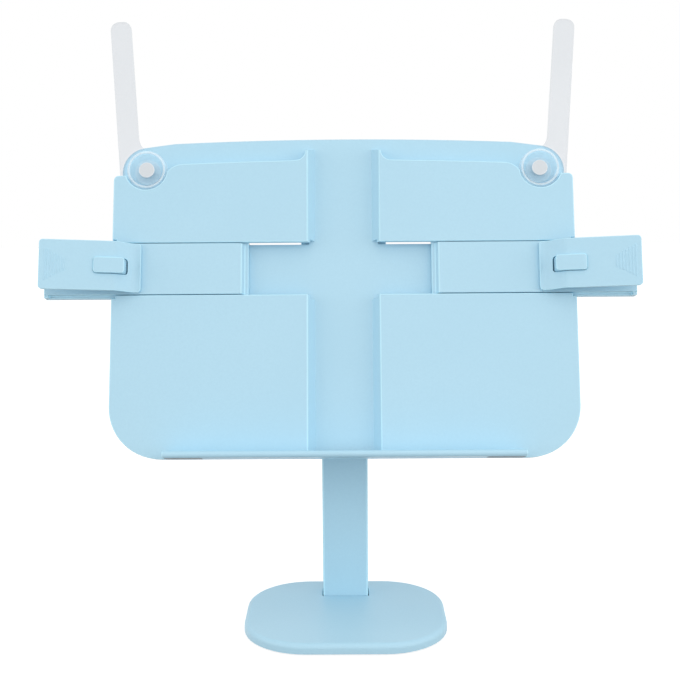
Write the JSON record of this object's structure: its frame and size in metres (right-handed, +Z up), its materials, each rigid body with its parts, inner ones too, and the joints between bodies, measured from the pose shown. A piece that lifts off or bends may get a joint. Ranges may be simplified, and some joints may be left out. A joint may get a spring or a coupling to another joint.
{
  "type": "book stand",
  "caption": "Desk book stand: a tilting padded panel with a book ledge, sliding page clips and clear swing arms, on a post and a weighted base.",
  "frame": {"origin": "middle of the base's underside, where its mat rests on the desk", "axes": "+X to the reader's right, -Y towards the reader, +Z up"},
  "size_m": [0.3569, 0.121, 0.3682],
  "materials": {
    "blue_shell": "satin moulded",
    "blue_cover": "satin moulded",
    "clear_arm": "clear gloss",
    "pale_pin": "smooth",
    "white_washer": "smooth",
    "screw_steel": "bright zinc",
    "weight_steel": "rolled",
    "grey_rubber": "matt",
    "mat_rubber": "matt"
  },
  "bodies": {
    "stand": {"base_shell": "blue_shell", "base_plate": "weight_steel", "base_weight": "weight_steel", "base_mat": "mat_rubber", "plate_screws": "screw_steel", "column_screws": "screw_steel", "column": "blue_shell", "column_cover": "blue_cover", "column_cover_screws": "screw_steel"},
    "panel": {"panel": "blue_shell", "ledge_strips": "grey_rubber", "tilt_bracket": "blue_cover", "bracket_screws": "screw_steel", "hinge_bolt": "screw_steel", "hinge_nut": "screw_steel", "hinge_washers": "white_washer", "hinge_caps": "blue_cover", "left_pivot_pin": "pale_pin", "left_pivot_washer": "blue_cover", "left_pivot_retainer": "pale_pin", "right_pivot_pin": "pale_pin", "right_pivot_washer": "blue_cover", "right_pivot_retainer": "pale_pin"},
    "left_arm": {"left_slide_arm": "blue_shell", "left_clip_pin": "screw_steel", "left_clip_spring": "screw_steel"},
    "left_clip": {"left_clip_lever": "blue_shell"},
    "right_arm": {"right_slide_arm": "blue_shell", "right_clip_pin": "screw_steel", "right_clip_spring": "screw_steel"},
    "right_clip": {"right_clip_lever": "blue_shell"},
    "left_swing_arm": {"left_swing_arm": "clear_arm"},
    "right_swing_arm": {"right_swing_arm": "clear_arm"}
  },
  "joints": [
    {"name": "panel_tilt", "type": "hinge", "parent": "stand", "child": "panel", "pos_m": [0, 0.0304, 0.1949], "axis": [-1, 0, 0], "range_deg": [-14, 60]},
    {"name": "left_slide", "type": "slide", "parent": "panel", "child": "left_arm", "axis": [1, 0, 0], "range_m": [0, 0.036]},
    {"name": "right_slide", "type": "slide", "parent": "panel", "child": "right_arm", "axis": [-1, 0, 0], "range_m": [-0.0043, 0.0317]},
    {"name": "left_clip_open", "type": "hinge", "parent": "left_arm", "child": "left_clip", "pos_m": [-0.138, 0.01185, 0.21885], "axis": [0, -0.2957, -0.9553], "range_deg": [0, 16], "stiffness_Nm_per_rad": 0.12, "springref_deg": -20.05, "deforming": ["left_clip_spring"]},
    {"name": "right_clip_open", "type": "hinge", "parent": "right_arm", "child": "right_clip", "pos_m": [0.1337, 0.01185, 0.21885], "axis": [0, 0.2957, 0.9553], "range_deg": [0, 16], "stiffness_Nm_per_rad": 0.12, "springref_deg": -20.05, "deforming": ["right_clip_spring"]},
    {"name": "left_swing", "type": "hinge", "parent": "panel", "child": "left_swing_arm", "pos_m": [-0.1204, 0.03808, 0.27585], "axis": [0, 0.9553, -0.2957], "range_deg": [0, 92.3]},
    {"name": "right_swing", "type": "hinge", "parent": "panel", "child": "right_swing_arm", "pos_m": [0.1204, 0.03808, 0.27585], "axis": [0, -0.9553, 0.2957], "range_deg": [0, 92.3]}
  ]
}
